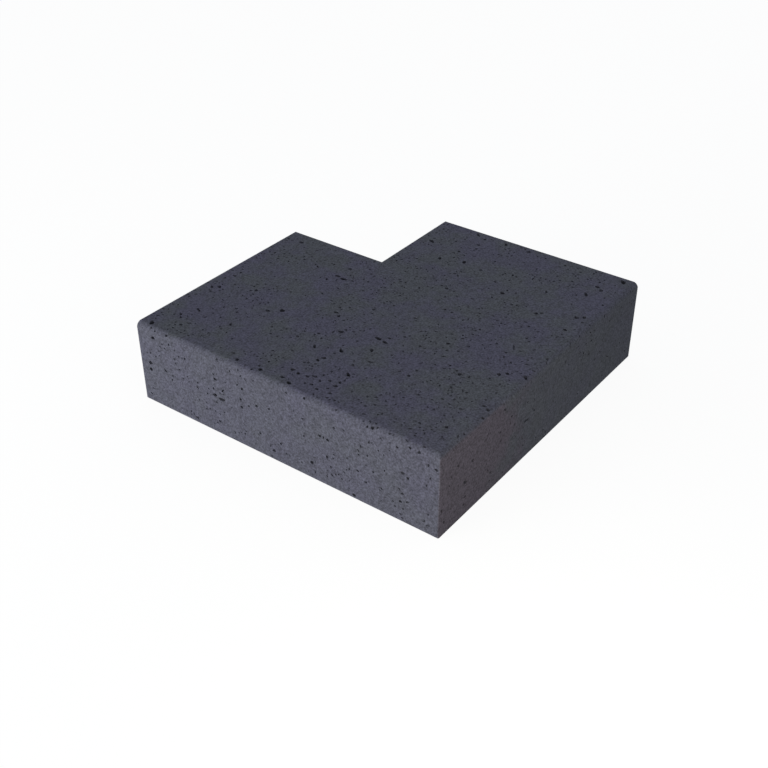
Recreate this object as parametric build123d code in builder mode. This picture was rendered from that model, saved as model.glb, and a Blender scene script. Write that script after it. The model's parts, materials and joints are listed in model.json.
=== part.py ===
from build123d import *

import os

# Corner step block of cast concrete, in millimetres. It is laid at the outer corner of a flight of
# steps: an L in plan, with a square notch at the back and both front top edges rounded as a nosing.
# The front side faces -Y, the right side faces +X, and the notch is in the -X +Y corner. The origin
# is on the bed, at the middle of the square that encloses the L.

# Plan
front_length = 600.0  # front side along X, from the outer corner to the end of the left leg
side_length = 600.0  # right side along Y, from the outer corner to the end of the back leg
left_leg_depth = 400.0  # left leg along Y, from the front side to the notch
back_leg_depth = 400.0  # back leg along X, from the right side to the notch

# Rise of one step, from the bed to the tread
block_height = 150.0

# Rounded edges
nosing_radius = 10.0  # top edge of the front side and of the right side
corner_radius = 2.0  # upright outer corner, and the mitre of the two nosings above it
arris_radius = 1.0  # every other outside edge, as it leaves the mould

with BuildPart() as step_block:
    with BuildSketch():
        Rectangle(front_length, side_length)
        with Locations((-front_length / 2, side_length / 2)):
            Rectangle(
                front_length - back_leg_depth,
                side_length - left_leg_depth,
                align=(Align.MIN, Align.MAX),
                mode=Mode.SUBTRACT,
            )
    extrude(amount=block_height)

    # Nosings: the top edges of the two sides that are seen and stepped over
    tread = step_block.faces().sort_by(Axis.Z)[-1]
    front_edge = tread.edges().filter_by(Axis.X).sort_by(Axis.Y)[0]
    right_edge = tread.edges().filter_by(Axis.Y).sort_by(Axis.X)[-1]
    fillet([front_edge, right_edge], radius=nosing_radius)

    # Outer corner: the upright edge, and the curve above it where the nosings meet
    front_face = step_block.faces().sort_by(Axis.Y)[0]
    upright_edge = front_face.edges().filter_by(Axis.Z).sort_by(Axis.X)[-1]
    mitre_edges = step_block.edges().filter_by(GeomType.ELLIPSE)
    fillet([upright_edge, *mitre_edges], radius=corner_radius)

    # Arrises: all round the bed and the two leg ends, and along the top of the notch
    bed = step_block.faces().sort_by(Axis.Z)[0]
    tread = step_block.faces().sort_by(Axis.Z)[-1]
    left_end = step_block.faces().sort_by(Axis.X)[0]
    back_end = step_block.faces().sort_by(Axis.Y)[-1]
    notch_edges = [
        tread.edges().filter_by(Axis.X).sort_by(Axis.Y)[1],
        tread.edges().filter_by(Axis.Y).sort_by(Axis.X)[1],
    ]
    fillet({*bed.edges(), *left_end.edges(), *back_end.edges(), *notch_edges}, radius=arris_radius)

step_block.part.label = "step_block"
os.makedirs("parts", exist_ok=True)
export_step(step_block.part, "parts/step_block.step")
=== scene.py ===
"""Corner step block of cast anthracite concrete, with the pores of its skin, in a plain studio.

Sizes are in metres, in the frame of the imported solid: the front side faces -Y, the right side faces +X,
and the notch is in the -X +Y corner. The block is drawn in plan, raised, rounded and then opened by its
pores, so that each pore that shows is a real pit in the mesh.
"""

import json
import logging
import math
from collections.abc import Callable, Mapping, Sequence
from dataclasses import dataclass, field, replace
from enum import Enum, IntEnum

import bmesh
import bpy
import numpy as np
from mathutils import Matrix, Vector


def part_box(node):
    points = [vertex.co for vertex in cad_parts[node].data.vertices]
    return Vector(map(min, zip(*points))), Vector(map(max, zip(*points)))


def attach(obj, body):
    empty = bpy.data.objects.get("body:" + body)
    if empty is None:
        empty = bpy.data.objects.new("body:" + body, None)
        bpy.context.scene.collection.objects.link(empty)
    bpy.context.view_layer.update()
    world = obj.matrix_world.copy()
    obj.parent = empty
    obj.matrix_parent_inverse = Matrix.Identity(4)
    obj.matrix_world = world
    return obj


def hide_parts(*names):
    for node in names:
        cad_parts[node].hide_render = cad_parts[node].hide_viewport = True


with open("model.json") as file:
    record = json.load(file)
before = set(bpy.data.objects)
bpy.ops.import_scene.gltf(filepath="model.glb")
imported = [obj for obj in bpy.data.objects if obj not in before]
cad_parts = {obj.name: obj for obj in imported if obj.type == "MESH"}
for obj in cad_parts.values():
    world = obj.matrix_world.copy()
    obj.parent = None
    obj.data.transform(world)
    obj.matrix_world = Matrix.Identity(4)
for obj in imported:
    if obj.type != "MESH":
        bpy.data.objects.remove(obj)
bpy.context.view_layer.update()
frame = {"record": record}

MM = 0.001
SQUARE_METRE = 1.0
TOUCH = 0.01 * MM
UP = Vector((0.0, 0.0, 1.0))
IMAGE_SIDE = 768.0
NOISE_MEAN = 0.5

Colour = tuple[float, float, float]
Span = tuple[float, float]
Element = bmesh.types.BMEdge | bmesh.types.BMFace

log = logging.getLogger("step_block")


@dataclass(frozen=True)
class Value:
    """An output socket of a node tree, on which Python's operators add Math nodes."""

    graph: "ShaderGraph"
    socket: bpy.types.NodeSocket

    def __add__(self, other: "Value | float") -> "Value":
        """Sum of the two."""
        return self.graph.math("ADD", self, other)

    def __radd__(self, other: float) -> "Value":
        """Sum of the two, the number first."""
        return self.graph.math("ADD", other, self)

    def __sub__(self, other: "Value | float") -> "Value":
        """Difference of the two."""
        return self.graph.math("SUBTRACT", self, other)

    def __rsub__(self, other: float) -> "Value":
        """Difference of the two, the number first."""
        return self.graph.math("SUBTRACT", other, self)

    def __mul__(self, other: "Value | float") -> "Value":
        """Product of the two."""
        return self.graph.math("MULTIPLY", self, other)

    def __rmul__(self, other: float) -> "Value":
        """Product of the two, the number first."""
        return self.graph.math("MULTIPLY", other, self)

    def __neg__(self) -> "Value":
        """The same with its sign turned."""
        return self.graph.math("MULTIPLY", self, -1.0)

    def at_least(self, other: "Value | float") -> "Value":
        """The larger of the two."""
        return self.graph.math("MAXIMUM", self, other)

    def at_most(self, other: "Value | float") -> "Value":
        """The smaller of the two."""
        return self.graph.math("MINIMUM", self, other)

    def swing(self) -> "Value":
        """How far noise, or a draw from 0 to 1, lies above its mean."""
        return self - NOISE_MEAN

    def rise(self, start: float, end: float) -> "Value":
        """Runs smoothly from 0 at start to 1 at end.

        Args:
            start: Value at which the result leaves 0.
            end: Value at which the result reaches 1.

        Returns:
            The smoothed share, from 0 to 1.
        """
        settings = {"interpolation_type": "SMOOTHSTEP"}
        sockets = {"Value": self, "From Min": start, "From Max": end}
        return self.graph.value("ShaderNodeMapRange", "Result", settings, sockets)


class Pattern(Enum):
    """One of many like noise patterns, so that no two uses run together."""

    SAND = 1.0
    CLOUD = 2.0
    HUE = 3.0
    WEAR = 4.0
    GRAVEL = 5.0
    MOTTLE = 6.0


@dataclass(frozen=True)
class Specks:
    """Round specks of one kind, each in a cell of its own.

    The size is that of a cell, the reach is the radius of the largest speck as a share of its cell, the
    share says how many cells hold one, and the strength says how far a speck hides what lies under it.
    """

    colour: Colour
    size: float
    reach: float
    share: float
    strength: float


class ShaderGraph:
    """A node tree that is written as Python expressions."""

    def __init__(self, tree: bpy.types.NodeTree) -> None:
        """Empties the tree."""
        self.tree = tree
        tree.nodes.clear()

    def node(
        self,
        kind: str,
        settings: Mapping[str, object] | None = None,
        sockets: Mapping[str | int, object] | None = None,
    ) -> bpy.types.Node:
        """Adds a node.

        Args:
            kind: Blender's name for the type of node.
            settings: The node's own settings, which are set first.
            sockets: A number, a colour, a Value or another socket for each input.

        Returns:
            The new node.
        """
        made = self.tree.nodes.new(kind)
        for name, setting in (settings or {}).items():
            setattr(made, name, setting)
        for key, given in (sockets or {}).items():
            self._feed(made.inputs[key], given)
        return made

    def _feed(self, socket: bpy.types.NodeSocket, given: object) -> None:
        """Links an input to what it is given, or sets its number or colour.

        Args:
            socket: The input.
            given: A Value, an output socket, a number, or a colour of three numbers.
        """
        if isinstance(given, Value):
            given = given.socket
        if isinstance(given, bpy.types.NodeSocket):
            self.tree.links.new(given, socket)
        elif socket.type == "RGBA":
            socket.default_value = (*given, 1.0)
        else:
            socket.default_value = given

    def value(
        self,
        kind: str,
        output: str | int,
        settings: Mapping[str, object] | None = None,
        sockets: Mapping[str | int, object] | None = None,
    ) -> Value:
        """Adds a node and hands on one of its outputs.

        Args:
            kind: Blender's name for the type of node.
            output: Name or number of the output.
            settings: The node's own settings.
            sockets: What the inputs are given.

        Returns:
            The output, for use in an expression.
        """
        return Value(self, self.node(kind, settings, sockets).outputs[output])

    def math(self, operation: str, first: Value | float, second: Value | float) -> Value:
        """Adds a Math node on two values."""
        return self.value("ShaderNodeMath", 0, {"operation": operation}, {0: first, 1: second})

    def blend(self, share: Value, first: Value | Colour, second: Value | Colour) -> Value:
        """Mixes two colours.

        Args:
            share: 0 for the first colour, 1 for the second.
            first: Colour at share 0.
            second: Colour at share 1.

        Returns:
            The mixed colour.
        """
        factor, first_colour, second_colour, mixed = 0, 6, 7, 2
        sockets = {factor: share, first_colour: first, second_colour: second}
        return self.value("ShaderNodeMix", mixed, {"data_type": "RGBA"}, sockets)

    def shade(self, colour: Value | Colour, tone: Value) -> Value:
        """Makes a colour lighter or darker by a tone of about 1."""
        return self.value("ShaderNodeVectorMath", 0, {"operation": "SCALE"}, {0: colour, "Scale": tone})

    def mix(self, share: Value, first: bpy.types.Node, second: bpy.types.Node) -> bpy.types.NodeSocket:
        """Mixes two shaders.

        Args:
            share: 0 for the first shader, 1 for the second.
            first: Shader at share 0.
            second: Shader at share 1.

        Returns:
            The mixed shader.
        """
        sockets = {0: share, 1: first.outputs[0], 2: second.outputs[0]}
        return self.node("ShaderNodeMixShader", None, sockets).outputs[0]

    def axes(self, place: Value) -> tuple[Value, ...]:
        """Splits coordinates into x, y and z."""
        split = self.node("ShaderNodeSeparateXYZ", None, {0: place})
        return tuple(Value(self, output) for output in split.outputs)

    def noise(self, place: Value, size: float, pattern: Pattern, detail: float = 2.0) -> Value:
        """Adds cloudy noise.

        Args:
            place: Coordinates, in metres.
            size: Rough size of one cloud, in metres.
            pattern: Which of many like patterns it is.
            detail: How many finer layers are added.

        Returns:
            The noise, about 0.5 on average.
        """
        sockets = {"Vector": place, "W": pattern.value, "Scale": 1.0 / size, "Detail": detail}
        return self.value("ShaderNodeTexNoise", 0, {"noise_dimensions": "4D"}, sockets)

    def cells(self, place: Value, size: float) -> bpy.types.Node:
        """Adds cells of about that size, each with a colour drawn for it."""
        return self.node("ShaderNodeTexVoronoi", None, {"Vector": place, "Scale": 1.0 / size})

    def specks(self, place: Value, kind: Specks) -> Value:
        """Adds specks.

        Args:
            place: Coordinates, in metres.
            kind: The kind of specks.

        Returns:
            1 in the middle of a speck and 0 outside all of them.
        """
        full_share, smallest, soft_rim = 0.8, 0.5, 0.3
        cells = self.cells(place, kind.size)
        draw = self.node("ShaderNodeSeparateColor", None, {0: cells.outputs["Color"]})
        taken = Value(self, draw.outputs[0]).rise(1.0 - kind.share, 1.0 - full_share * kind.share)
        radius = kind.reach * (smallest + (1.0 - smallest) * Value(self, draw.outputs[1]))
        inside = radius - Value(self, cells.outputs["Distance"])
        return taken * inside.rise(0.0, soft_rim * kind.reach)

    def seen_directly(self) -> Value:
        """Tells what is seen from what only lights.

        Returns:
            1 for rays from the camera, and for those that gloss or glass sends on, and 0 for others.
        """
        paths = self.node("ShaderNodeLightPath")
        camera = Value(self, paths.outputs["Is Camera Ray"])
        glossy = Value(self, paths.outputs["Is Glossy Ray"])
        through = Value(self, paths.outputs["Is Transmission Ray"])
        return camera.at_least(glossy).at_least(through)


@dataclass(frozen=True)
class Extent:
    """The square that encloses the block, and the inner corner of its notch."""

    low: Vector
    high: Vector
    notch_x: float
    notch_y: float

    @classmethod
    def of_frame(cls, node: str) -> "Extent":
        """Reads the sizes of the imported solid.

        Args:
            node: Name of its node.

        Returns:
            The solid's box, and its notch from the mounts on the two walls of it.
        """
        low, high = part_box(node)
        mounts = {mount["name"]: mount["pos_m"] for mount in frame["record"]["mounts"]}
        return cls(low, high, mounts["notch_back"][0], mounts["notch_left"][1])

    @property
    def height(self) -> float:
        """Rise of the step."""
        return self.high.z - self.low.z

    def in_notch(self, place: Vector, margin: float = 0.0) -> bool:
        """Whether a place in the plan falls in the notch, or within a margin of it."""
        return place.x < self.notch_x + margin and place.y > self.notch_y - margin


class Axis(IntEnum):
    """An axis of the frame."""

    X = 0
    Y = 1
    Z = 2


class Side(Enum):
    """A side of the block, named for the way it is laid."""

    TREAD = "tread"
    BED = "bed"
    FRONT = "front"
    RIGHT = "right"
    LEFT_END = "left_end"
    BACK_END = "back_end"
    NOTCH_LEFT = "notch_left"
    NOTCH_BACK = "notch_back"


def upright_frame(along: Vector, up: Vector, place: Vector) -> Matrix:
    """Builds a frame from two axes and a place.

    Args:
        along: First axis.
        up: Second axis.
        place: Origin.

    Returns:
        The frame, whose third axis is square to the other two.
    """
    turned = Matrix((along, up, along.cross(up))).transposed().to_4x4()
    turned.translation = place
    return turned


@dataclass(frozen=True)
class Panel:
    """The flat rectangle that a side lies in, seen from outside with its corner at the lower left.

    The rim is the width of its rounded edges, at the left, the right, the foot and the head.
    """

    corner: Vector
    along: Vector
    up: Vector
    length: float
    height: float
    rim: tuple[float, float, float, float]

    @property
    def out(self) -> Vector:
        """Direction in which the side faces."""
        return self.along.cross(self.up)

    @property
    def area(self) -> float:
        """Area of the rectangle."""
        return self.length * self.height

    def stand(self, across: float, rise: float) -> Matrix:
        """Frame of a point on the panel: along, up, out and place.

        Args:
            across: Distance along from the corner.
            rise: Distance up from the corner.

        Returns:
            The frame, with its third axis square to the panel.
        """
        place = self.corner + self.along * across + self.up * rise
        return upright_frame(self.along, self.up, place)

    def flat(self, points: np.ndarray) -> np.ndarray:
        """Distances along and up from the corner, for an array of points."""
        return (points - np.array(self.corner)) @ np.array((self.along, self.up)).T

    def gap(self, points: np.ndarray) -> np.ndarray:
        """How far points lie from the rectangle, counted tenfold where they lie beside it.

        Args:
            points: Array of points.

        Returns:
            The gap of each.
        """
        beside_weight = 10.0
        off = np.abs((points - np.array(self.corner)) @ np.array(self.out))
        size = np.array((self.length, self.height))
        spread = self.flat(points)
        beside = np.maximum(-spread, 0.0) + np.maximum(spread - size, 0.0)
        return off + beside_weight * beside.sum(axis=1)

    def holds(self, across: float, rise: float, reach: float) -> bool:
        """Tells whether a pore lies clear of the panel's rounded rims.

        Args:
            across: Distance of its middle along from the corner.
            rise: Distance of its middle up from the corner.
            reach: Half its length, with the room that it needs.

        Returns:
            Whether it does.
        """
        left, right, foot, head = self.rim
        clear_along = left + reach <= across <= self.length - right - reach
        return clear_along and foot + reach <= rise <= self.height - head - reach


@dataclass(frozen=True)
class Round:
    """A rounded edge between two sides that are square to each other."""

    ends: tuple[Vector, Vector]
    first: Vector
    second: Vector
    radius: float
    least_end: float = 3 * MM

    @property
    def along(self) -> Vector:
        """Direction of the edge, with the first side on its right hand."""
        return self.second.cross(self.first)

    @property
    def length(self) -> float:
        """Length of the edge."""
        return (self.ends[1] - self.ends[0]).length

    @property
    def height(self) -> float:
        """Length of the arc, from the first side to the second."""
        return self.radius * math.pi / 2

    @property
    def area(self) -> float:
        """Area of the rounded edge."""
        return self.length * self.height

    def stand(self, across: float, rise: float) -> Matrix:
        """Frame of a point on the round: along, up, out and place.

        Args:
            across: Distance along from the edge's start.
            rise: Distance up the arc.

        Returns:
            The frame, with its third axis square to the round.
        """
        turn = rise / self.radius
        out = self.first * math.cos(turn) + self.second * math.sin(turn)
        up = self.second * math.cos(turn) - self.first * math.sin(turn)
        start = min(self.ends, key=self.along.dot)
        axis = start + self.along * across - (self.first + self.second) * self.radius
        return upright_frame(self.along, up, axis + out * self.radius)

    def holds(self, across: float, rise: float, reach: float) -> bool:
        """Whether a pore of that reach lies clear of the two ends."""
        end = max(self.radius, self.least_end) + reach
        return end <= across <= self.length - end and 0.0 <= rise <= self.height


@dataclass(frozen=True)
class Sheet:
    """Where a side is laid on the bake's map, in pixels."""

    left: float
    foot: float
    pixels_per_metre: float
    turned: bool = False

    def lay(self, panel: Panel, points: np.ndarray) -> np.ndarray:
        """Lays points of a side on the map.

        Args:
            panel: The side.
            points: Array of points on it.

        Returns:
            Their places on the map, in pixels.
        """
        spread = panel.flat(points)
        if self.turned:
            spread = np.stack([panel.height - spread[:, 1], spread[:, 0]], 1)
        return spread * self.pixels_per_metre + (self.left, self.foot)


@dataclass(frozen=True)
class MapLayout:
    """How the sides lie on the bake's map, in pixels: all at one scale, apart from the bed."""

    map_side: float = 1024.0
    margin: float = 4.0
    gap: float = 8.0
    pixels_per_metre: float = 1100.0
    bed_pixels_per_metre: float = 550.0

    def _past(self, start: float, size: float) -> float:
        """Where the next side starts, past one of that size."""
        return start + size * self.pixels_per_metre + self.gap

    def sheets(self, panels: Mapping[Side, Panel]) -> dict[Side, Sheet]:
        """Lays the tread, the front and the right side in one column, and the others turned beside them.

        Args:
            panels: The sides.

        Returns:
            The place of each side.
        """
        height = panels[Side.FRONT].height
        front_foot = self._past(self.margin, panels[Side.TREAD].height)
        right_foot = self._past(front_foot, height)
        second_column = self._past(self.margin, panels[Side.TREAD].length)
        third_column = self._past(second_column, height)
        notch_foot = self._past(self.margin, panels[Side.LEFT_END].length)
        bed_foot = self._past(notch_foot, panels[Side.NOTCH_LEFT].length)
        scale = self.pixels_per_metre
        return {
            Side.TREAD: Sheet(self.margin, self.margin, scale),
            Side.FRONT: Sheet(self.margin, front_foot, scale),
            Side.RIGHT: Sheet(self.margin, right_foot, scale),
            Side.LEFT_END: Sheet(second_column, self.margin, scale, turned=True),
            Side.BACK_END: Sheet(third_column, self.margin, scale, turned=True),
            Side.NOTCH_LEFT: Sheet(second_column, notch_foot, scale, turned=True),
            Side.NOTCH_BACK: Sheet(third_column, notch_foot, scale, turned=True),
            Side.BED: Sheet(second_column, bed_foot, self.bed_pixels_per_metre),
        }


@dataclass(frozen=True)
class Grade:
    """How finely a pit is modelled, for pores up to a given width.

    Each ring below the mouth has its share of the mouth's size and of the pit's depth.
    """

    up_to: float
    sides: int
    rings: tuple[Span, ...]


@dataclass(frozen=True)
class Pore:
    """An air void that the skin has opened, or a nick: a pit with an uneven mouth.

    The lift is how far its cutter stands above the skin, and its darkness says how much of the shade of
    a deep pit is painted on its floor.
    """

    stand: Matrix
    length: float
    width: float
    depth: float
    lift: float
    turn: float
    waist: float = 0.0
    darkness: float = 1.0

    @property
    def reach(self) -> float:
        """Half its length."""
        return self.length / 2


@dataclass
class CutterMesh:
    """Closed blobs gathered in one mesh, each corner with its share of the pit's depth."""

    points: list[np.ndarray] = field(default_factory=list)
    faces: list[np.ndarray] = field(default_factory=list)
    shares: list[np.ndarray] = field(default_factory=list)
    count: int = 0

    def add(self, rings: np.ndarray, poles: np.ndarray, shares: np.ndarray) -> None:
        """Adds a blob.

        Args:
            rings: Points of each ring, from the outermost down.
            poles: The point above the first ring and the point below the last.
            shares: Share of the depth at each ring and, last, at the lower pole.
        """
        levels, sides = rings.shape[:2]
        ring = self.count + np.arange(levels * sides).reshape(levels, sides)
        after = np.roll(ring, -1, axis=1)
        top = np.full(sides, self.count + levels * sides)
        bottom = top + 1
        self.faces.append(np.stack([top, ring[0], after[0]], 1))
        self.faces.append(np.stack([bottom, after[-1], ring[-1]], 1))
        for upper, lower in zip(range(levels - 1), range(1, levels)):
            self.faces.append(np.stack([ring[upper], ring[lower], after[lower]], 1))
            self.faces.append(np.stack([ring[upper], after[lower], after[upper]], 1))
        self.points += [rings.reshape(-1, 3), poles]
        self.shares += [np.repeat(shares[:-1], sides), np.array([0.0, shares[-1]])]
        self.count += levels * sides + len(poles)

    def make(self, name: str, attribute: str) -> bpy.types.Object:
        """Makes the mesh object.

        Args:
            name: Name of the object.
            attribute: Name for the share of the depth at each corner.

        Returns:
            The object, linked to the scene.
        """
        faces = np.concatenate(self.faces)
        mesh = bpy.data.meshes.new(name)
        mesh.from_pydata(np.concatenate(self.points).tolist(), [], faces.tolist())
        layer = mesh.attributes.new(attribute, "FLOAT", "CORNER")
        layer.data.foreach_set("value", np.concatenate(self.shares)[faces.ravel()].astype(np.float32))
        made = bpy.data.objects.new(name, mesh)
        bpy.context.scene.collection.objects.link(made)
        return made


@dataclass(frozen=True)
class Mark:
    """A pore that catches the eye, at its place on a side, in millimetres and degrees."""

    across: float
    rise: float
    length: float
    width: float
    turn: float = 0.0
    waist: float = 0.0


# Pores that catch the eye, listed one by one: across and up the side from its lower left corner
STRIKING_PORES: dict[Side, tuple[Mark, ...]] = {
    Side.TREAD: (
        Mark(169, 314, 6.2, 4.0), Mark(184, 312, 8.0, 4.8), Mark(168, 168, 6.2, 5.0, -35),
        Mark(88, 193, 4.2, 3.6), Mark(81, 187, 3.2, 2.6), Mark(29, 165, 4.8, 4.2),
        Mark(19, 157, 5.5, 3.2, -45), Mark(111, 120, 3.4, 2.6, -40), Mark(281, 115, 6.0, 3.4, -50),
        Mark(254, 210, 4.5, 3.4, -40), Mark(243, 216, 4.6, 3.8), Mark(149, 154, 4.8, 4.0),
        Mark(41, 61, 4.4, 2.8, -30), Mark(48, 54, 4.2, 2.6, -35), Mark(22, 14, 6.8, 5.0, -35),
        Mark(209, 15, 4.2, 3.8), Mark(192, 26, 3.2, 2.6), Mark(256, 16, 5.5, 4.0, -25),
        Mark(297, 20, 4.2, 3.8), Mark(348, 193, 7.4, 4.4, 0, 0.1), Mark(363, 191, 6.8, 4.0, -15),
        Mark(362, 204, 3.4, 2.8), Mark(360, 159, 6.0, 3.8, -50), Mark(323, 130, 7.0, 3.8, -50),
        Mark(379, 132, 6.0, 2.6, 15), Mark(310, 88, 4.8, 3.8, -30), Mark(314, 98, 5.0, 4.0),
        Mark(373, 84, 6.4, 4.0, -35, 0.2), Mark(376, 60, 4.4, 3.0, -40),
        Mark(361, 55, 4.0, 3.4), Mark(335, 50, 5.5, 3.2), Mark(326, 44, 4.4, 3.4),
        Mark(310, 42, 4.6, 3.2, -30), Mark(359, 26, 3.8, 2.8, -30), Mark(315, 14, 5.5, 4.0, -30),
        Mark(535, 297, 8.5, 2.2, -55), Mark(537, 265, 5.0, 2.2, -55), Mark(593, 237, 5.2, 4.4, -50),
        Mark(508, 185, 4.4, 4.0), Mark(448, 136, 4.4, 3.0, -50), Mark(583, 137, 3.8, 3.4),
        Mark(592, 132, 4.0, 3.2), Mark(567, 62, 3.8, 3.4), Mark(226, 518, 8.5, 4.2, -30, 0.2),
        Mark(288, 514, 4.2, 3.2, -30), Mark(284, 504, 3.6, 3.0), Mark(318, 486, 6.0, 4.6, -60),
        Mark(275, 472, 5.5, 3.6, -55), Mark(430, 433, 6.0, 4.8, -50), Mark(570, 436, 5.0, 4.6),
        Mark(580, 443, 4.8, 3.4, -50), Mark(510, 408, 4.6, 3.4, 30), Mark(517, 414, 3.6, 2.6, 30),
        Mark(550, 546, 5.4, 4.4), Mark(560, 539, 5.6, 4.0, -50), Mark(577, 587, 8.4, 5.4, -50),
        Mark(343, 586, 5.5, 3.4, -50), Mark(301, 581, 3.8, 3.4), Mark(488, 480, 4.2, 2.8, -60),
        Mark(65, 37, 3.8, 3.2), Mark(161, 55, 3.0, 2.6), Mark(129, 85, 4.0, 3.2, -40),
        Mark(55, 88, 7.0, 2.8, -30), Mark(24, 209, 4.4, 3.6), Mark(19, 234, 2.8, 2.2),
        Mark(224, 329, 3.2, 2.4, -40), Mark(259, 330, 3.0, 2.6), Mark(196, 281, 2.8, 2.4),
        Mark(171, 347, 4.4, 3.8), Mark(37, 373, 5.4, 4.4), Mark(239, 232, 3.2, 2.6, -40),
        Mark(214, 242, 3.4, 2.6, -30), Mark(269, 204, 3.4, 2.6), Mark(288, 260, 3.2, 2.6),
        Mark(287, 174, 6.0, 4.6, 20), Mark(240, 122, 3.2, 2.6), Mark(296, 45, 5.0, 4.2),
        Mark(248, 22, 3.2, 2.6), Mark(303, 74, 3.2, 2.6, -40), Mark(362, 109, 3.4, 2.6),
        Mark(376, 49, 5.0, 4.0), Mark(349, 46, 4.0, 2.8, -40), Mark(371, 37, 3.0, 2.6),
        Mark(345, 31, 3.8, 3.0), Mark(382, 29, 4.0, 3.2), Mark(385, 18, 3.2, 2.6),
        Mark(379, 222, 3.2, 2.6), Mark(365, 272, 2.4, 2.0), Mark(462, 292, 3.2, 2.4),
        Mark(383, 330, 3.2, 2.6), Mark(397, 329, 3.0, 2.4), Mark(345, 390, 4.2, 3.4),
        Mark(533, 278, 3.2, 2.4), Mark(537, 333, 3.2, 2.6), Mark(545, 327, 2.8, 2.2),
        Mark(565, 229, 4.6, 3.2, -50), Mark(556, 220, 5.0, 4.0), Mark(499, 191, 3.2, 2.6),
        Mark(450, 155, 3.2, 2.6, -50), Mark(559, 111, 3.2, 2.6), Mark(498, 35, 2.6, 2.2),
        Mark(531, 47, 3.2, 2.4), Mark(528, 28, 3.2, 2.6), Mark(454, 18, 3.4, 2.8),
        Mark(574, 391, 4.4, 3.2), Mark(446, 246, 4.2, 3.4), Mark(357, 479, 4.2, 3.4),
        Mark(281, 589, 7.2, 3.0, -40), Mark(390, 587, 5.0, 4.0), Mark(449, 446, 3.2, 2.6),
        Mark(463, 409, 3.2, 2.6), Mark(303, 556, 4.4, 3.2), Mark(546, 512, 8.2, 3.2, -50),
    ),
    Side.FRONT: (
        Mark(167, 74, 7.0, 4.2, 20), Mark(182, 71, 9.4, 4.6, 5), Mark(170, 61, 3.6, 2.8),
        Mark(22, 79, 7.0, 4.4, 20), Mark(21, 66, 5.6, 4.0, 40), Mark(131, 83, 4.2, 2.6, 25),
        Mark(224, 89, 4.2, 3.2, 45), Mark(288, 18, 5.5, 3.4, 15), Mark(365, 30, 5.4, 4.2, 30),
        Mark(314, 23, 3.8, 2.8), Mark(446, 6, 5.0, 4.2), Mark(536, 91, 5.0, 3.4, 20),
        Mark(545, 86, 4.0, 3.4), Mark(536, 53, 4.0, 3.2), Mark(530, 60, 3.4, 2.6),
        Mark(532, 37, 4.0, 3.2), Mark(580, 126, 4.0, 2.8, 60), Mark(476, 119, 3.8, 2.8, 40),
        Mark(435, 71, 4.0, 2.8, 20), Mark(581, 16, 6.4, 2.6, 30),
        Mark(36, 132, 6.0, 4.6), Mark(82, 109, 3.2, 2.6, 30), Mark(153, 41, 3.4, 2.6),
        Mark(107, 10, 3.2, 2.6), Mark(121, 9, 5.0, 3.6), Mark(230, 30, 3.4, 2.6, 30),
        Mark(257, 90, 4.4, 3.4), Mark(283, 96, 3.6, 3.0), Mark(171, 106, 5.0, 4.0),
        Mark(229, 111, 4.2, 3.2, 30), Mark(398, 88, 4.6, 3.6), Mark(383, 89, 4.6, 3.6),
        Mark(352, 75, 3.4, 2.6, 30), Mark(429, 120, 3.2, 2.6), Mark(411, 116, 3.8, 3.0),
        Mark(412, 29, 2.8, 2.2), Mark(424, 26, 3.2, 2.6), Mark(396, 55, 4.2, 3.4),
        Mark(410, 66, 3.2, 2.4), Mark(537, 25, 3.2, 2.6), Mark(526, 133, 3.8, 3.0),
        Mark(470, 74, 3.2, 2.4), Mark(593, 124, 4.6, 3.4),
    ),
    Side.RIGHT: (
        Mark(46, 105, 4.2, 2.6, -45), Mark(84, 91, 4.4, 3.2, -40), Mark(66, 62, 6.4, 4.2, -40),
        Mark(169, 132, 5.0, 2.8, -40), Mark(136, 35, 4.6, 2.8, -40), Mark(13, 23, 4.4, 3.0, -50),
        Mark(239, 72, 9.0, 3.6, -10, 0.25), Mark(65, 21, 3.4, 2.6), Mark(237, 107, 3.4, 2.6),
        Mark(190, 108, 3.4, 2.6), Mark(162, 79, 3.2, 2.6), Mark(295, 19, 3.6, 2.6),
    ),
}

# The same on the nosings: along the edge, and up the round from the upright side
NOSING_PORES: dict[Side, tuple[Mark, ...]] = {
    Side.FRONT: (
        Mark(66, 7.8, 3.8, 3.0), Mark(31, 9.3, 3.2, 2.6), Mark(41, 6.4, 3.2, 2.4),
        Mark(355, 5.6, 4.0, 3.0, 20), Mark(481, 6.4, 4.6, 3.6), Mark(510, 9.3, 3.6, 2.8),
        Mark(548, 2.0, 4.0, 3.0), Mark(564, 0.8, 4.6, 3.4, 30), Mark(569, 12.0, 3.4, 2.6),
        Mark(321, 1.6, 3.4, 2.6),
    ),
    Side.RIGHT: (Mark(113, 9.3, 4.0, 3.0, -40),),
}


@dataclass(frozen=True)
class PitShape:
    """How uneven a pit is.

    The mouth and the wall vary by shares of the mouth's size, and each ring drifts by a share of the
    pore's width. The first corner is turned by up to so many radians, and the cutter's cap is so many
    times as high as its lift.
    """

    oval: float = 0.10
    three_lobed: float = 0.09
    ragged_mouth: float = 0.05
    ragged_wall: float = 0.03
    drift: float = 0.06
    first_corner: float = 0.5
    cap: float = 1.4


@dataclass(frozen=True)
class NickShape:
    """Small nicks along the sharper edges: how many there are, and between what sizes they vary.

    Their width is a share of their length, their place is a share of the way round the edge, and the
    spread of their turn from the edge's direction is in radians.
    """

    per_metre: float = 22.0
    shortest: float = 1.4 * MM
    longest: float = 5 * MM
    falloff: float = 3.0
    slimness: Span = (0.4, 0.7)
    depth: Span = (0.3 * MM, 0.8 * MM)
    way_round: Span = (0.2, 0.8)
    turn: float = 0.25
    lift: float = 0.6 * MM
    darkness: float = 0.15


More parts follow.
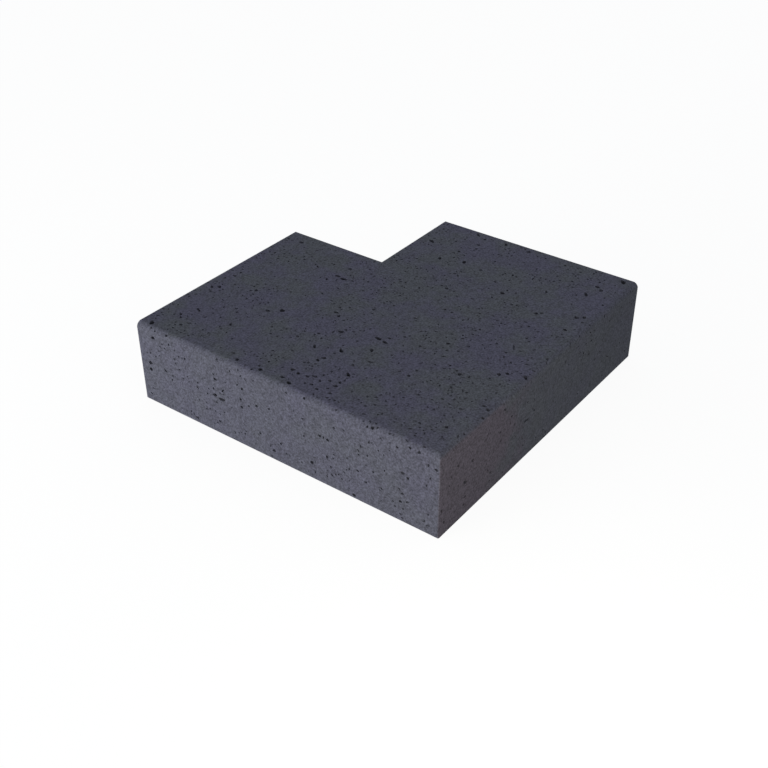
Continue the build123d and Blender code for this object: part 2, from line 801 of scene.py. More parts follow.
@dataclass(frozen=True)
class Brood:
    """Scattered pores of one kind: how many to the square metre, how wide, and their cutters' lift."""

    density: float
    smallest: float
    largest: float
    lift: float


@dataclass
class PoreField:
    """The pores of the whole skin: those listed one by one, the many that are scattered, and edge nicks.

    Most scattered pores are pale: their darkness is a draw to the power of the bias. Depths are shares
    of the width. Pores crowd by the swell of many waves, and the crowd's level, swing and least share
    say how many of those tried are kept.
    """

    extent: Extent
    panels: Mapping[Side, Panel]
    nosings: Mapping[Side, Round]
    arrises: Sequence[Round]
    density: float = 2900.0 / SQUARE_METRE
    fine_density: float = 1200.0 / SQUARE_METRE
    side_share: Mapping[Side, float] = field(
        default_factory=lambda: {Side.TREAD: 1.3, Side.FRONT: 0.65, Side.RIGHT: 0.3, Side.BED: 0.25}
    )
    tries_per_pore: float = 2.0
    smallest: float = 3.3 * MM
    largest: float = 6.5 * MM
    largest_among_striking: float = 5.4 * MM
    finest: float = 1.0 * MM
    falloff: float = 4.0
    slimness: tuple[float, float, float] = (1.0, 1.2, 2.8)
    palest: float = 0.16
    pale_bias: float = 3.0
    pale_depth: float = 0.5
    dark_depth: float = 1.2
    grouped: float = 0.3
    group_reach: Span = (4.0 * MM, 9.0 * MM)
    full_dark_width: float = 6.0 * MM
    striking_scale: Mapping[Side, float] = field(
        default_factory=lambda: {Side.TREAD: 1.75, Side.FRONT: 1.4, Side.RIGHT: 1.55}
    )
    striking_depth: Span = (0.8, 1.0)
    shallowest_striking: float = 0.5
    striking_lift: float = 0.4 * MM
    nosing_lift: float = 0.8 * MM
    scattered_lift: float = 0.3 * MM
    fine_lift: float = 0.2 * MM
    gap: float = 0.4 * MM
    rim_gap: float = 0.5 * MM
    notch_gap: float = 1.5 * MM
    depth_reach: float = 0.8
    level_cosine: float = 0.99
    crowd_size: float = 75 * MM
    crowd_spread: Span = (0.6, 2.4)
    crowd_waves: int = 24
    crowd_level: float = 0.48
    crowd_swing: float = 0.4
    crowd_least: float = 0.08
    nicks: NickShape = NickShape()
    pit: PitShape = PitShape()
    most_pores: int = 20000
    seed: int = 20
    grades: tuple[Grade, ...] = (
        Grade(1.8 * MM, 6, ()),
        Grade(2.9 * MM, 6, ((0.9, 0.55),)),
        Grade(4.0 * MM, 8, ((0.92, 0.5),)),
        Grade(99.0 * MM, 12, ((0.95, 0.4), (0.68, 0.84))),
    )

    def __post_init__(self) -> None:
        """Starts the draws, and picks the waves that crowd the pores."""
        self.random = np.random.default_rng(self.seed)
        ways = self.random.normal(size=(self.crowd_waves, 3))
        lengths = self.crowd_size * self.random.uniform(*self.crowd_spread, self.crowd_waves)
        self._waves = ways / np.linalg.norm(ways, axis=1)[:, None] * (2 * math.pi / lengths)[:, None]
        self._phases = self.random.uniform(0.0, 2 * math.pi, self.crowd_waves)
        self.pores: list[Pore] = []
        self._centres = np.empty((self.most_pores, 3))
        self._reaches = np.empty(self.most_pores)

    def crowding(self, place: Vector) -> float:
        """Tells how crowded the pores are at a place.

        Args:
            place: The place.

        Returns:
            Share of the pores that it keeps, from few to all.
        """
        waves = np.cos(self._waves @ np.array(place) + self._phases)
        swell = waves.sum() / math.sqrt(self.crowd_waves / 2)
        return float(np.clip(self.crowd_level + self.crowd_swing * swell, self.crowd_least, 1.0))

    def put(self, pore: Pore) -> None:
        """Keeps a pore if it stays clear of the others.

        Args:
            pore: The pore.
        """
        place = np.array(pore.stand.translation)
        reach = max(pore.reach, self.depth_reach * pore.depth)
        count = len(self.pores)
        apart = np.linalg.norm(self._centres[:count] - place, axis=1)
        if (apart < self._reaches[:count] + reach + self.gap).any():
            return
        self.pores.append(pore)
        self._centres[count] = place
        self._reaches[count] = reach

    def place_striking(self) -> None:
        """Places the pores that catch the eye, first on the sides and then on the nosings."""
        places = (
            (self.panels, STRIKING_PORES, self.striking_lift),
            (self.nosings, NOSING_PORES, self.nosing_lift),
        )
        for grounds, striking, lift in places:
            for side, marks in striking.items():
                for mark in marks:
                    self._strike(grounds[side], mark, self.striking_scale[side], lift)

    def _strike(self, ground: Panel | Round, mark: Mark, scale: float, lift: float) -> None:
        """Places one pore that catches the eye.

        Args:
            ground: The side or nosing.
            mark: Its place and size.
            scale: How many times that size it is made.
            lift: How far the pore's cutter stands above the skin.
        """
        stand = ground.stand(mark.across * MM, mark.rise * MM)
        length, width = mark.length * scale * MM, mark.width * scale * MM
        darkness = min(mark.width * MM / self.full_dark_width, 1.0)
        share = self.shallowest_striking + (1.0 - self.shallowest_striking) * darkness
        depth = width * self.random.uniform(*self.striking_depth) * share
        self.put(Pore(stand, length, width, depth, lift, math.radians(mark.turn), mark.waist, darkness))

    def draw_width(self, brood: Brood) -> float:
        """Draws a pore's mean width: small ones are many, and large ones few."""
        kept = 1.0 - (brood.smallest / brood.largest) ** self.falloff
        return brood.smallest * (1.0 - self.random.uniform() * kept) ** (-1.0 / self.falloff)

    def scatter(self) -> None:
        """Scatters the other pores over every side and nosing, and nicks along the sharper edges."""
        elsewhere = Brood(self.density, self.smallest, self.largest, self.scattered_lift)
        among_striking = replace(elsewhere, largest=self.largest_among_striking)
        fine = Brood(self.fine_density, self.finest, self.smallest, self.fine_lift)
        for edge in self.arrises:
            self._nick(edge)
        for nosing in self.nosings.values():
            self._scatter_over(nosing, replace(among_striking, lift=self.nosing_lift))
        for side, panel in self.panels.items():
            share = self.side_share.get(side, 1.0)
            for brood in (among_striking if side in STRIKING_PORES else elsewhere, fine):
                self._scatter_over(panel, replace(brood, density=share * brood.density))

    def _nick(self, edge: Round) -> None:
        """Scatters small nicks along an edge.

        Args:
            edge: The edge.
        """
        nick = self.nicks
        for _ in range(int(nick.per_metre * edge.length)):
            across = self.random.uniform(0.0, edge.length)
            rise = edge.height * self.random.uniform(*nick.way_round)
            drawn = nick.shortest * self.random.uniform(0.0, 1.0) ** (-1.0 / nick.falloff)
            length = min(drawn, nick.longest)
            width = length * self.random.uniform(*nick.slimness)
            depth = self.random.uniform(*nick.depth)
            turn = self.random.normal(0.0, nick.turn)
            if edge.holds(across, rise, length / 2):
                stand = edge.stand(across, rise)
                self.put(Pore(stand, length, width, depth, nick.lift, turn, darkness=nick.darkness))

    def _scatter_over(self, ground: Panel | Round, brood: Brood) -> None:
        """Scatters pores over one side or nosing, in looser and denser patches and small groups.

        Args:
            ground: The side or nosing.
            brood: The kind of pores.
        """
        tries = self.tries_per_pore * brood.density * ground.area / (1.0 + self.grouped)
        for _ in range(int(tries)):
            across = self.random.uniform(0.0, ground.length)
            rise = self.random.uniform(0.0, ground.height)
            if self.random.uniform() > self.crowding(ground.stand(across, rise).translation):
                continue
            self._open(ground, across, rise, brood)
            if self.random.uniform() < self.grouped:
                away = self.random.uniform(*self.group_reach)
                turn = self.random.uniform(0.0, 2 * math.pi)
                self._open(ground, across + away * math.cos(turn), rise + away * math.sin(turn), brood)

    def _open(self, ground: Panel | Round, across: float, rise: float, brood: Brood) -> None:
        """Draws one pore, and keeps it if it lies clear of the rims, the notch and the other pores.

        Args:
            ground: The side or nosing.
            across: Distance along it.
            rise: Distance up it.
            brood: The kind of pore.
        """
        mean = self.draw_width(brood)
        slim = math.sqrt(self.random.triangular(*self.slimness))
        length, width = mean * slim, mean / slim
        turn = self.random.uniform(0.0, math.pi)
        darkness = self.palest + (1.0 - self.palest) * self.random.uniform() ** self.pale_bias
        depth = width * (self.pale_depth + (self.dark_depth - self.pale_depth) * darkness)
        stand = ground.stand(across, rise)
        pore = Pore(stand, length, width, depth, brood.lift, turn, darkness=darkness)
        if not ground.holds(across, rise, pore.reach + self.rim_gap):
            return
        level = abs(stand.col[2].z) > self.level_cosine
        if not (level and self.extent.in_notch(stand.translation, pore.reach + self.notch_gap)):
            self.put(pore)

    def cutters(self, attribute: str) -> bpy.types.Object:
        """Makes one mesh of all the pores.

        Args:
            attribute: Name for the share of the depth at each corner.

        Returns:
            The cutters' object.
        """
        mesh = CutterMesh()
        for pore in self.pores:
            grade = next(grade for grade in self.grades if pore.width <= grade.up_to)
            self._add_blob(mesh, pore, grade)
        return mesh.make("pore_cutters", attribute)

    def _add_blob(self, mesh: CutterMesh, pore: Pore, grade: Grade) -> None:
        """Adds one pore's blob to the cutters.

        Args:
            mesh: The cutters.
            pore: The pore.
            grade: How finely it is modelled.
        """
        pit = self.pit
        corners = np.arange(grade.sides) * 2 * math.pi / grade.sides
        angle = corners + self.random.uniform(0.0, pit.first_corner)
        skew = self.random.uniform(0.0, 2 * math.pi, 2)
        spread = 1.0 + pit.oval * np.cos(2 * angle + skew[0])
        spread += pit.three_lobed * np.cos(3 * angle + skew[1])
        spread += pore.waist * np.cos(2 * angle) + self.random.normal(0.0, pit.ragged_mouth, grade.sides)
        mouth = 1.0 if grade.rings else 1.0 + pore.lift / pore.depth
        wall = [(size, share * pore.depth) for size, share in grade.rings]
        levels = np.array([(mouth, -pore.lift), *wall])
        drift = self.random.normal(0.0, pit.drift, (len(levels) + 1, 2)) * pore.width
        long_way, short_way = pore.length / 2 * np.cos(angle), pore.width / 2 * np.sin(angle)
        rings = np.empty((len(levels), grade.sides, 3))
        for ring, (size, depth), shift in zip(rings, levels, drift):
            below = depth > 0
            rough = 1.0 + self.random.normal(0.0, pit.ragged_wall, grade.sides) * below
            ring[:, 0] = spread * size * rough * long_way + shift[0] * below
            ring[:, 1] = spread * size * rough * short_way + shift[1] * below
            ring[:, 2] = -depth
        poles = np.array([[0.0, 0.0, pit.cap * pore.lift], [*drift[-1], -pore.depth]])
        stand = np.array(pore.stand @ Matrix.Rotation(pore.turn, 4, "Z"))
        axes, place = stand[:3, :3].T, stand[:3, 3]
        shares = pore.darkness * np.array([0.0, *[share for _, share in grade.rings], 1.0])
        mesh.add(rings @ axes + place, poles @ axes + place, shares)


@dataclass(frozen=True)
class ConcreteFinish:
    """Dry concrete coloured through in anthracite, with a fine sandy grain, faint clouds, and painted
    shade in its pits and pinholes.

    A gain says how far a pattern moves the tone or the hue, a strength how far a layer hides what lies
    under it, and a height how much of the relief a pattern makes up. A range gives the values between
    which a pattern sets in.
    """

    name: str = "anthracite_concrete"
    blue_paste: Colour = (0.0612, 0.0602, 0.0920)
    olive_paste: Colour = (0.0594, 0.0636, 0.0780)
    # Painted light: a warmer, lighter colour for a pool of light on the right side by the outer corner
    painted_warm_light: Colour = (0.0708, 0.0622, 0.0826)
    # Painted shade: the near black laid on the floors of the pits, where shade gathers
    pit_shade: Colour = (0.019, 0.019, 0.024)
    worn_edge: Colour = (0.095, 0.097, 0.118)
    # Painted shade: dark specks that stand for the shade in pinholes too small to model
    pinhole_shade: Specks = Specks(
        colour=(0.020, 0.020, 0.026), size=2.5 * MM, reach=0.32, share=0.55, strength=0.45
    )
    glint: Specks = Specks(
        colour=(0.130, 0.132, 0.155), size=4.25 * MM, reach=0.2, share=0.4, strength=0.35
    )
    sand_size: float = 2.9 * MM
    gravel_size: float = 8 * MM
    grain_size: float = 1.1 * MM
    mottle_size: float = 9 * MM
    cloud_size: float = 40 * MM
    hue_size: float = 60 * MM
    wear_size: float = 14 * MM
    sand_gain: float = 2.3
    gravel_gain: float = 0.48
    grain_gain: float = 0.16
    cloud_gain: float = 0.09
    mottle_gain: float = 0.22
    mottle_range: Span = (0.58, 0.75)
    even_hue: float = 0.5
    right_hue: float = 0.32
    side_hue_gain: float = 1.2
    tread_hue_gain: float = 5.0
    tread_band: float = 2 * MM
    right_band: float = 3 * MM
    painted_light_range: Span = (144 * MM, 240 * MM)
    painted_light_waver: float = 0.25
    wear_range: Span = (0.42, 0.66)
    wear_reach: Span = (0.3 * MM, 3.0 * MM)
    wear_strength: float = 0.4
    pit_shade_range: Span = (-0.1, 0.7)
    pit_shade_strength: float = 0.96
    roughness: float = 0.88
    roughness_gain: float = 0.16
    specular: float = 0.2
    relief: float = 0.35 * MM
    relief_strength: float = 0.6
    sand_height: float = 0.7
    pinhole_height: float = 0.8
    grain_height: float = 0.5
    pit_shade_attribute: str = "pore_depth"

    def material(self, extent: Extent) -> bpy.types.Material:
        """Builds the material.

        Args:
            extent: The block's sizes, by which the edges are found.

        Returns:
            The material.
        """
        made = bpy.data.materials.new(self.name)
        made.use_nodes = True
        graph = ShaderGraph(made.node_tree)
        place = graph.value("ShaderNodeTexCoord", "Object")
        sand = graph.noise(place, self.sand_size, Pattern.SAND)
        pinhole_shade = graph.specks(place, self.pinhole_shade)
        glint = graph.specks(place, self.glint)
        grains = graph.cells(place, self.grain_size)
        pore = graph.value("ShaderNodeAttribute", "Fac", {"attribute_name": self.pit_shade_attribute})
        tone = self._tone(graph, place, sand, Value(graph, grains.outputs["Color"]))
        colour = graph.shade(self._paste(graph, place, extent), tone)
        layers = (
            # Painted shade in the pinholes
            (self.pinhole_shade.strength * pinhole_shade, self.pinhole_shade.colour),
            (self.glint.strength * glint, self.glint.colour),
            (self.wear_strength * self._wear(graph, place, extent), self.worn_edge),
            # Painted shade on the pits' floors, by the share of the depth at each corner
            (self.pit_shade_strength * pore.rise(*self.pit_shade_range), self.pit_shade),
        )
        for share, layer in layers:
            colour = graph.blend(share, colour, layer)
        between_grains = Value(graph, grains.outputs["Distance"])
        height = self.sand_height * sand - self.pinhole_height * pinhole_shade - self.grain_height * between_grains
        bump = {"Strength": self.relief_strength, "Distance": self.relief, "Height": height}
        sockets = {
            "Base Color": colour,
            "Roughness": self.roughness + self.roughness_gain * sand.swing(),
            "Specular IOR Level": self.specular,
            "Normal": graph.value("ShaderNodeBump", "Normal", None, bump),
        }
        shader = graph.node("ShaderNodeBsdfPrincipled", None, sockets)
        graph.node("ShaderNodeOutputMaterial", None, {"Surface": shader.outputs[0]})
        return made

    def _tone(self, graph: ShaderGraph, place: Value, sand: Value, grain: Value) -> Value:
        """How light the skin is: sand, gravel near the skin, single grains, clouds and darker mottling.

        Args:
            graph: The material's graph.
            place: Coordinates, in metres.
            sand: Noise of the sandy grain.
            grain: A draw from 0 to 1 for each single grain.

        Returns:
            The tone, about 1 on average.
        """
        gravel = graph.noise(place, self.gravel_size, Pattern.GRAVEL)
        cloud = graph.noise(place, self.cloud_size, Pattern.CLOUD, detail=3.0)
        mottle = graph.noise(place, self.mottle_size, Pattern.MOTTLE).rise(*self.mottle_range)
        tone = 1.0 + self.sand_gain * sand.swing() + self.gravel_gain * gravel.swing()
        tone = tone + self.cloud_gain * cloud.swing() + self.grain_gain * grain.swing()
        return tone - self.mottle_gain * mottle

    def _paste(self, graph: ShaderGraph, place: Value, extent: Extent) -> Value:
        """Colour of the cement paste: bluer and greyer patches, and a painted pool of warm light on the
        right side by the outer corner.

        Args:
            graph: The material's graph.
            place: Coordinates, in metres.
            extent: The block's sizes.

        Returns:
            The colour.
        """
        x, y, z = graph.axes(place)
        hue = graph.noise(place, self.hue_size, Pattern.HUE, detail=3.0).swing()
        on_tread = z.rise(extent.high.z - self.tread_band, extent.high.z)
        on_right = x.rise(extent.high.x - self.right_band, extent.high.x)
        gain = self.side_hue_gain + (self.tread_hue_gain - self.side_hue_gain) * on_tread
        share = self.even_hue + gain * hue + self.right_hue * on_right
        colour = graph.blend(share, self.blue_paste, self.olive_paste)
        # Painted light: a warmer, lighter pool on the right side that fades away from the outer corner
        from_corner = y - extent.low.y + self.painted_light_waver * hue
        painted_light = on_right * (1.0 - from_corner.rise(*self.painted_light_range))
        return graph.blend(painted_light, colour, self.painted_warm_light)

    def _wear(self, graph: ShaderGraph, place: Value, extent: Extent) -> Value:
        """Where handling has rubbed the edges paler, broken up by noise.

        Args:
            graph: The material's graph.
            place: Coordinates, in metres.
            extent: The block's sizes.

        Returns:
            1 on a rubbed edge, 0 away from the edges.
        """
        x, y, z = graph.axes(place)
        # Past its end, a wall of the notch counts as far away
        past_wall = 100.0
        from_notch_x, from_notch_y = x - extent.notch_x, y - extent.notch_y
        to_notch_x = from_notch_x.at_least(-from_notch_x) + past_wall * (-from_notch_y).at_least(0.0)
        to_notch_y = from_notch_y.at_least(-from_notch_y) + past_wall * from_notch_x.at_least(0.0)
        to_x = (x - extent.low.x).at_most(extent.high.x - x).at_most(to_notch_x)
        to_y = (y - extent.low.y).at_most(extent.high.y - y).at_most(to_notch_y)
        to_z = (z - extent.low.z).at_most(extent.high.z - z)
        to_edge = to_x.at_most(to_y).at_least(to_x.at_least(to_y).at_most(to_z))
        patchy = graph.noise(place, self.wear_size, Pattern.WEAR, detail=4.0).rise(*self.wear_range)
        return patchy * (1.0 - to_edge.rise(*self.wear_reach))


@dataclass
class StepBlock:
    """The step block: an L in plan, with two nosings that meet in a mitre at the outer corner.

    Edges that bend by more than the sharp angle are broken, and faces that meet at less than the smooth
    angle are shaded as one. Angles are in degrees.
    """

    extent: Extent
    finish: ConcreteFinish
    name: str = "concrete_step_block"
    node: str = "step_block"
    body: str = "root"
    slot: str = "anthracite_concrete"
    nosing_radius: float = 10 * MM
    nosing_segments: int = 16
    corner_radius: float = 2 * MM
    corner_segments: int = 4
    mitre_reach: float = 11 * MM
    arris_radius: float = 1 * MM
    arris_segments: int = 3
    sharp_angle: float = 60.0
    smooth_angle: float = 50.0
    flat_cosine: float = 0.99999
    nosed: tuple[Side, ...] = (Side.FRONT, Side.RIGHT)
    map_name: str = "OFBake"
    layout: MapLayout = MapLayout()

    def build(self) -> bpy.types.Object:
        """Models and dresses the block.

        Returns:
            The finished piece.
        """
        self._draw_plan()
        self._round_nosings()
        self._round_outer_corner()
        self._break_arrises()
        bpy.ops.object.mode_set(mode="OBJECT")
        self._open_pores()
        self._shade()
        self._map()
        self.piece.data.materials.clear()
        self.piece.data.materials.append(self.finish.material(self.extent))
        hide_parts(self.node)
        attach(self.piece, self.body)
        return self.piece

    def _select(self, kind: str, test: Callable[[Element], bool]) -> None:
        """Selects the edges or faces that pass a test, and nothing else.

        Args:
            kind: EDGE or FACE.
            test: Says whether an edge or face is wanted.
        """
        bpy.ops.mesh.select_mode(type=kind)
        bpy.ops.mesh.select_all(action="DESELECT")
        shape = bmesh.from_edit_mesh(self.piece.data)
        for element in shape.edges if kind == "EDGE" else shape.faces:
            if test(element):
                element.select_set(True)
        shape.select_flush_mode()
        bmesh.update_edit_mesh(self.piece.data)

    def _lies_on(self, element: Element, axis: Axis, level: float) -> bool:
        """Whether an edge or face lies in the plane at that level of an axis."""
        return all(abs(corner.co[axis] - level) < TOUCH for corner in element.verts)

    def _draw_plan(self) -> None:
        """Draws the L in plan, and raises it to the height of the step."""
        low, high = self.extent.low, self.extent.high
        middle = (low + high) / 2
        bpy.ops.object.select_all(action="DESELECT")
        bpy.ops.mesh.primitive_plane_add(size=1.0, enter_editmode=True, location=(0.0, 0.0, 0.0))
        self.piece = bpy.context.active_object
        self.piece.name = self.piece.data.name = self.name
        bpy.ops.transform.resize(value=(high.x - low.x, high.y - low.y, 1.0))
        bpy.ops.transform.translate(value=(middle.x, middle.y, low.z))
        notch = (self.extent.notch_x, self.extent.notch_y, low.z)
        for across in ((1.0, 0.0, 0.0), (0.0, 1.0, 0.0)):
            bpy.ops.mesh.select_all(action="SELECT")
            bpy.ops.mesh.bisect(plane_co=notch, plane_no=across)
        self._select("FACE", lambda face: self.extent.in_notch(face.calc_center_median()))
        bpy.ops.mesh.delete(type="FACE")
        bpy.ops.mesh.select_all(action="SELECT")
        bpy.ops.mesh.dissolve_limited()
        bpy.ops.mesh.select_all(action="SELECT")
        rise = {"value": (0.0, 0.0, self.extent.height)}
        bpy.ops.mesh.extrude_region_move(TRANSFORM_OT_translate=rise)
        bpy.ops.mesh.select_all(action="SELECT")
        bpy.ops.mesh.normals_make_consistent(inside=False)

    def _round_nosings(self) -> None:
        """Rolls the top edges of the front and right sides, which meet in a mitre."""
        low, high = self.extent.low, self.extent.high
        self._select(
            "EDGE",
            lambda edge: self._lies_on(edge, Axis.Z, high.z)
            and (self._lies_on(edge, Axis.Y, low.y) or self._lies_on(edge, Axis.X, high.x)),
        )
        self._bevel(self.nosing_radius, self.nosing_segments)

    def _round_outer_corner(self) -> None:
        """Takes the sharpness off the upright outer corner and the mitre above it."""
        self._select("EDGE", self._on_outer_corner)
        self._bevel(self.corner_radius, self.corner_segments)

    def _on_outer_corner(self, edge: bmesh.types.BMEdge) -> bool:
        """Tells whether an edge lies in the upright plane of the mitre, and near the outer corner.

        Args:
            edge: The edge.

        Returns:
            Whether both its ends do.
        """
        low, high = self.extent.low, self.extent.high
        from_right = [high.x - corner.co.x for corner in edge.verts]
        from_front = [corner.co.y - low.y for corner in edge.verts]
        in_plane = all(abs(x - y) < TOUCH for x, y in zip(from_right, from_front))
        return in_plane and max(from_right) < self.mitre_reach

    def _break_arrises(self) -> None:
        """Breaks the other outside edges, round the bed and the two ends and along the notch's top."""
        low, high = self.extent.low, self.extent.high
        sides = ((Axis.Z, low.z), (Axis.X, low.x), (Axis.Y, high.y))
        walls = ((Axis.X, self.extent.notch_x), (Axis.Y, self.extent.notch_y))

        def is_arris(edge: bmesh.types.BMEdge) -> bool:
            """Tells whether an edge is a sharp outside edge on one of those sides.

            Args:
                edge: The edge.

            Returns:
                Whether it is.
            """
            if not edge.is_convex or edge.calc_face_angle(0.0) < math.radians(self.sharp_angle):
                return False
            on_side = any(self._lies_on(edge, axis, level) for axis, level in sides)
            at_top = self._lies_on(edge, Axis.Z, high.z)
            return on_side or (at_top and any(self._lies_on(edge, axis, level) for axis, level in walls))

        self._select("EDGE", is_arris)
        self._bevel(self.arris_radius, self.arris_segments)

    def _bevel(self, radius: float, segments: int) -> None:
        """Rounds the selected edges."""
        circular = {"offset_type": "OFFSET", "profile": 0.5, "affect": "EDGES", "clamp_overlap": False}
        bpy.ops.mesh.bevel(offset=radius, segments=segments, **circular)

    def walls(self) -> list[tuple[Side, Vector, Vector]]:
        """Lists the upright sides against the clock.

        Returns:
            Each side, with the start and the end of its foot.
        """
        low, high = self.extent.low, self.extent.high
        notch_x, notch_y = self.extent.notch_x, self.extent.notch_y
        sides = (Side.FRONT, Side.RIGHT, Side.BACK_END, Side.NOTCH_BACK, Side.NOTCH_LEFT, Side.LEFT_END)
        front, back = ((low.x, low.y), (high.x, low.y)), ((high.x, high.y), (notch_x, high.y))
        corners = (*front, *back, (notch_x, notch_y), (low.x, notch_y))
        feet = [Vector((x, y, low.z)) for x, y in corners]
        return list(zip(sides, feet, feet[1:] + feet[:1]))

    def panels(self) -> dict[Side, Panel]:
        """Lists the flat rectangle of each side, with the width of its rounded rims.

        Returns:
            The panels by side.
        """
        low, high = self.extent.low, self.extent.high
        x, y = Vector((1.0, 0.0, 0.0)), Vector((0.0, 1.0, 0.0))
        arris, nosing, corner = self.arris_radius, self.nosing_radius, self.corner_radius
        length, width = high.x - low.x, high.y - low.y
        tread = Vector((low.x, low.y, high.z))
        panels = {
            Side.TREAD: Panel(tread, x, y, length, width, (arris, nosing, nosing, arris)),
            Side.BED: Panel(low.copy(), y, x, width, length, (arris, arris, arris, arris)),
        }
        for side, start, end in self.walls():
            head = nosing if side in self.nosed else arris
            way = end - start
            rim = (corner, corner, arris, head)
            panels[side] = Panel(start, way.normalized(), UP, way.length, self.extent.height, rim)
        return panels

    def nosings(self) -> dict[Side, Round]:
        """Lists the rounded top edges of the front and right sides.

        Returns:
            The nosings by side.
        """
        panels, lift = self.panels(), UP * self.extent.height
        return {
            side: Round((start + lift, end + lift), panels[side].out, UP, self.nosing_radius)
            for side, start, end in self.walls()
            if side in self.nosed
        }

    def arrises(self) -> list[Round]:
        """Lists the sharper outside edges: feet, heads and uprights of the upright sides.

        Returns:
            The edges.
        """
        walls, panels = self.walls(), self.panels()
        lift = UP * self.extent.height
        edges = []
        for (side, start, end), (before, _, _) in zip(walls, walls[-1:] + walls[:-1]):
            out = panels[side].out
            edges.append(Round((start, end), out, -UP, self.arris_radius))
            if side not in self.nosed:
                edges.append(Round((start + lift, end + lift), out, UP, self.arris_radius))
            inner_corner = side is Side.NOTCH_LEFT
            if not inner_corner:
                upright = self.corner_radius if side is Side.RIGHT else self.arris_radius
                edges.append(Round((start, start + lift), panels[before].out, out, upright))
        return edges

    def _open_pores(self) -> None:
        """Cuts all the pores out of the block."""
        pores = PoreField(self.extent, self.panels(), self.nosings(), self.arrises())
        pores.place_striking()
        pores.scatter()
        attribute = self.finish.pit_shade_attribute
        self.piece.data.attributes.new(attribute, "FLOAT", "CORNER")
        cutters = pores.cutters(attribute)
        bpy.context.view_layer.objects.active = self.piece
        cut = self.piece.modifiers.new("pores", "BOOLEAN")
        cut.operation = "DIFFERENCE"
        cut.solver = "MANIFOLD"
        cut.object = cutters
        bpy.ops.object.modifier_apply(modifier=cut.name)
        bpy.data.meshes.remove(cutters.data)
        log.info("%d pores opened", len(pores.pores))

    def _read(
        self, items: bpy.types.bpy_prop_collection, name: str, kind: type, width: int
    ) -> np.ndarray:
        """Reads one property of all the mesh's points, faces or corners.

        Args:
            items: The points, faces or corners.
            name: Name of the property.
            kind: Type of its numbers.
            width: How many numbers each of them has.

        Returns:
            The numbers, a row for each.
        """
        found = np.empty(len(items) * width, kind)
        items.foreach_get(name, found)
        return found.reshape(-1, width)

    def _shade(self) -> None:
        """Shades the rounds smooth, and keeps the flat sides flat up to the rims."""
        bpy.ops.object.select_all(action="DESELECT")
        self.piece.select_set(True)
        bpy.context.view_layer.objects.active = self.piece
        bpy.ops.object.shade_smooth_by_angle(angle=math.radians(self.smooth_angle))
        mesh = self.piece.data
        normals = self._read(mesh.polygons, "normal", np.float32, 3)
        flat = np.abs(normals).max(axis=1) > self.flat_cosine
        mesh.polygons.foreach_set("use_smooth", ~flat)
        mesh.update()

    def _map(self) -> None:
        """Lays each side flat on the bake's map, with its pits where they are."""
        mesh, panels = self.piece.data, self.panels()
        sheets = self.layout.sheets(panels)
        points = self._read(mesh.vertices, "co", np.float32, 3).astype(float)
        centres = self._read(mesh.polygons, "center", np.float32, 3).astype(float)
        nearest = np.stack([panels[side].gap(centres) for side in Side], 1).argmin(axis=1)
        corner_side = np.repeat(nearest, self._read(mesh.polygons, "loop_total", np.int32, 1)[:, 0])
        corner_point = self._read(mesh.loops, "vertex_index", np.int32, 1)[:, 0]
        laid = np.zeros((len(mesh.loops), 2))
        for number, side in enumerate(Side):
            mine = corner_side == number
            laid[mine] = sheets[side].lay(panels[side], points[corner_point[mine]])
        layer = mesh.uv_layers.new(name=self.map_name)
        layer.uv.foreach_set("vector", (laid / self.layout.map_side).astype(np.float32).ravel())


@dataclass(frozen=True)
class FloorFinish:
    """White studio floor: it looks white, and keeps a soft part of the shadow that falls on it."""

    name: str = "studio_white"
    colour: Colour = (0.45, 0.45, 0.45)
    shadow_share: float = 0.20
    white_level: float = 1.15

    def material(self) -> bpy.types.Material:
        """Builds the material.

        Returns:
            The material.
        """
        made = bpy.data.materials.new(self.name)
        made.use_nodes = True
        graph = ShaderGraph(made.node_tree)
        matte = graph.node("ShaderNodeBsdfDiffuse", None, {"Color": self.colour})
        white = graph.node("ShaderNodeEmission", None, {"Strength": self.white_level})
        share = (1.0 - self.shadow_share) * graph.seen_directly()
        graph.node("ShaderNodeOutputMaterial", None, {"Surface": graph.mix(share, matte, white)})
        return made


@dataclass(frozen=True)
class Bearing:
    """A direction to stand in: degrees round from the front towards the right side, and degrees up."""

    azimuth: float
    elevation: float

    def back(self) -> Vector:
        """Works out the way from the block towards the bearing.

        Returns:
            The unit vector.
        """
        turn, rise = math.radians(self.azimuth), math.radians(self.elevation)
        level = Vector((math.sin(turn), -math.cos(turn), 0.0))
        return level * math.cos(rise) + UP * math.sin(rise)


@dataclass(frozen=True)
class Lamp:
    """A soft box that faces the block."""

    name: str
    bearing: Bearing
    distance: float
    width: float
    height: float
    level: float
    colour: Colour

    def hang(self, target: Vector) -> bpy.types.Object:
        """Hangs the lamp.

        Args:
            target: The point that it faces.

        Returns:
            The lamp, with the power that gives its level on a face turned to it.
        """
        back = self.bearing.back()
        turn = back.to_track_quat("Z", "Y").to_euler()
        bpy.ops.object.light_add(type="AREA", location=target + back * self.distance, rotation=turn)
        lamp = bpy.context.active_object
        lamp.name = self.name
        lamp.data.shape = "RECTANGLE"
        lamp.data.size = self.width
        lamp.data.size_y = self.height
        lamp.data.color = self.colour
        lamp.data.energy = self.level * (math.pi * self.distance) ** 2
        lamp.visible_camera = False
        return lamp


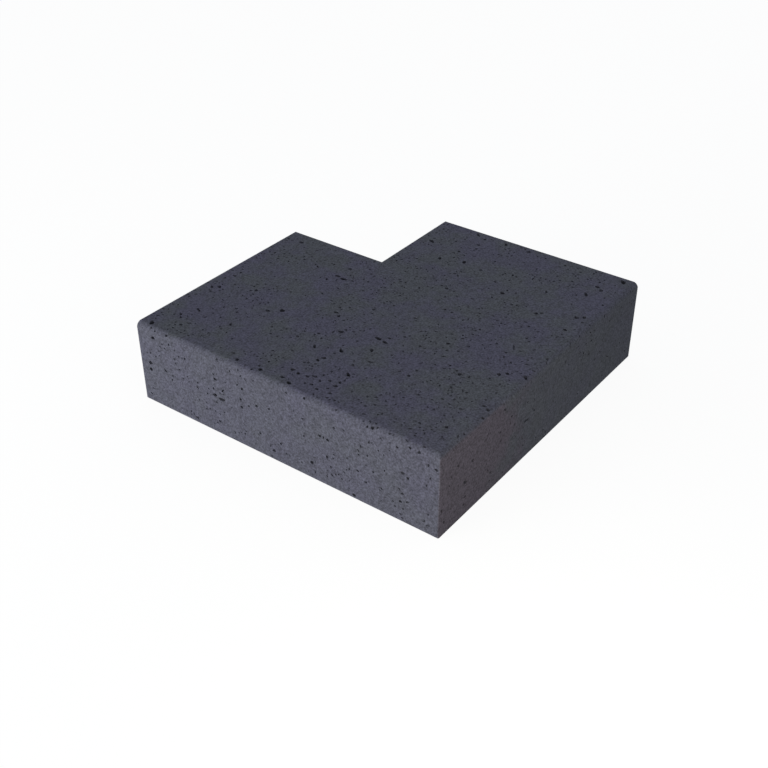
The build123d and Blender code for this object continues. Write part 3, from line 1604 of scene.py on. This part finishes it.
@dataclass
class Studio:
    """Floor, soft light and the camera that looks at the outer corner."""

    floor_finish: FloorFinish = FloorFinish()
    floor_side: float = 40.0
    floor_gap: float = 0.2 * MM
    sky_level: float = 0.62
    sky_colour: Colour = (0.93, 0.985, 1.03)
    white_level: float = 1.0
    white: Colour = (1.0, 1.0, 1.0)
    lamps: tuple[Lamp, ...] = (
        Lamp(
            name="key_lamp",
            bearing=Bearing(azimuth=-25.0, elevation=4.5),
            distance=3.0,
            width=1.6,
            height=0.5,
            level=1.04,
            colour=(1.0, 0.985, 0.955),
        ),
        Lamp(
            name="side_lamp",
            bearing=Bearing(azimuth=50.0, elevation=16.0),
            distance=1.0,
            width=0.6,
            height=0.6,
            level=0.205,
            colour=(1.0, 0.91, 0.70),
        ),
    )
    target: Vector = field(default_factory=lambda: Vector((0.0, 0.0, 0.075)))
    eye: Vector = field(default_factory=lambda: Vector((0.9780, -1.3336, 1.1178)))
    view: Bearing = Bearing(azimuth=36.85, elevation=34.44)
    roll: float = -0.27
    focal_pixels: float = 1144.3
    sensor: float = 36.0

    def build(self) -> None:
        """Sets up the floor, the light and the camera."""
        self._lay_floor()
        self._light_sky()
        for lamp in self.lamps:
            lamp.hang(self.target)
            log.info("%s at level %.2f", lamp.name, lamp.level)
        self._stand_camera()

    def _lay_floor(self) -> None:
        """Lays the floor just under the bed."""
        bpy.ops.object.select_all(action="DESELECT")
        bpy.ops.mesh.primitive_plane_add(size=self.floor_side, location=(0.0, 0.0, -self.floor_gap))
        floor = bpy.context.active_object
        floor.name = "studio_floor"
        floor.data.materials.append(self.floor_finish.material())

    def _light_sky(self) -> None:
        """Lights the room evenly, and shows it white."""
        world = bpy.data.worlds.new("studio_room")
        world.use_nodes = True
        bpy.context.scene.world = world
        graph = ShaderGraph(world.node_tree)
        sky = {"Color": self.sky_colour, "Strength": self.sky_level}
        shown = {"Color": self.white, "Strength": self.white_level}
        light, white = (graph.node("ShaderNodeBackground", None, sockets) for sockets in (sky, shown))
        mixed = graph.mix(graph.seen_directly(), light, white)
        graph.node("ShaderNodeOutputWorld", None, {"Surface": mixed})

    def _stand_camera(self) -> None:
        """Stands the camera, and sets the plain view transform."""
        data = bpy.data.cameras.new("studio_camera")
        data.sensor_width = self.sensor
        data.lens = self.focal_pixels / IMAGE_SIDE * self.sensor
        camera = bpy.data.objects.new("studio_camera", data)
        looking = (-self.view.back()).to_track_quat("-Z", "Y").to_matrix().to_4x4()
        rolled = Matrix.Rotation(math.radians(self.roll), 4, "Z")
        camera.matrix_world = Matrix.Translation(self.eye) @ looking @ rolled
        scene = bpy.context.scene
        scene.collection.objects.link(camera)
        scene.camera = camera
        scene.view_settings.view_transform = "Standard"


def main() -> None:
    """Builds the block and the studio."""
    logging.basicConfig(level=logging.INFO, format="%(name)s: %(message)s")
    block = StepBlock(Extent.of_frame("step_block"), ConcreteFinish())
    piece = block.build()
    piece.data.calc_loop_triangles()
    log.info("%s with %d triangles", piece.name, len(piece.data.loop_triangles))
    Studio().build()


if __name__ == "__main__":
    main()
